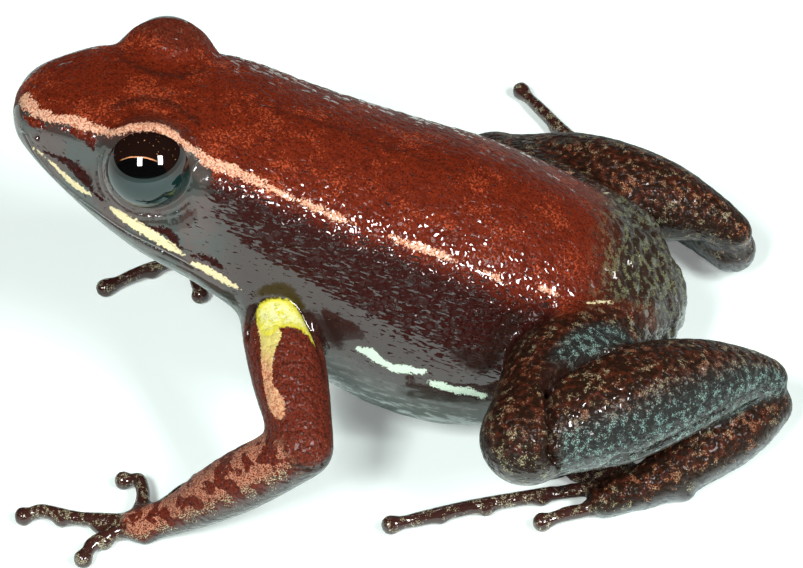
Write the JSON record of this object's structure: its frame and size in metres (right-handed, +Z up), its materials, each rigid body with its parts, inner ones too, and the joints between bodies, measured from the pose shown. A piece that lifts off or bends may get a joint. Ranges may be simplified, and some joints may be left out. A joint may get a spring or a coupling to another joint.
{
  "type": "frog model",
  "caption": "Life-size still model of a small dark red rocket frog sitting with its head raised, legs folded and toes spread.",
  "frame": {"origin": "bottom centre of the box around the whole animal, on the floor it sits on", "axes": "-X is where the snout points, -Y is the animal's left, +Z is up"},
  "size_m": [0.0328, 0.0304, 0.017],
  "materials": {
    "back_skin": "wet satin skin",
    "throat_skin": "wet smooth skin",
    "arm_skin": "wet satin skin",
    "leg_skin": "wet satin skin",
    "digit_skin": "wet satin skin",
    "eye": "clear gloss"
  },
  "bodies": {
    "root": {"eye_left": "eye", "eye_right": "eye", "finger_1_left": "digit_skin", "finger_1_right": "digit_skin", "finger_2_left": "digit_skin", "finger_2_right": "digit_skin", "finger_3_left": "digit_skin", "finger_3_right": "digit_skin", "finger_4_left": "digit_skin", "finger_4_right": "digit_skin", "foot_left": "digit_skin", "foot_right": "digit_skin", "forearm_left": "arm_skin", "forearm_right": "arm_skin", "hand_left": "digit_skin", "hand_right": "digit_skin", "head": "back_skin", "lower_jaw": "throat_skin", "shank_left": "leg_skin", "shank_right": "leg_skin", "thigh_left": "leg_skin", "thigh_right": "leg_skin", "toe_1_left": "digit_skin", "toe_1_right": "digit_skin", "toe_2_left": "digit_skin", "toe_2_right": "digit_skin", "toe_3_left": "digit_skin", "toe_3_right": "digit_skin", "toe_4_left": "digit_skin", "toe_4_right": "digit_skin", "toe_5_left": "digit_skin", "toe_5_right": "digit_skin", "trunk": "back_skin", "upper_arm_left": "arm_skin", "upper_arm_right": "arm_skin"}
  },
  "joints": []
}
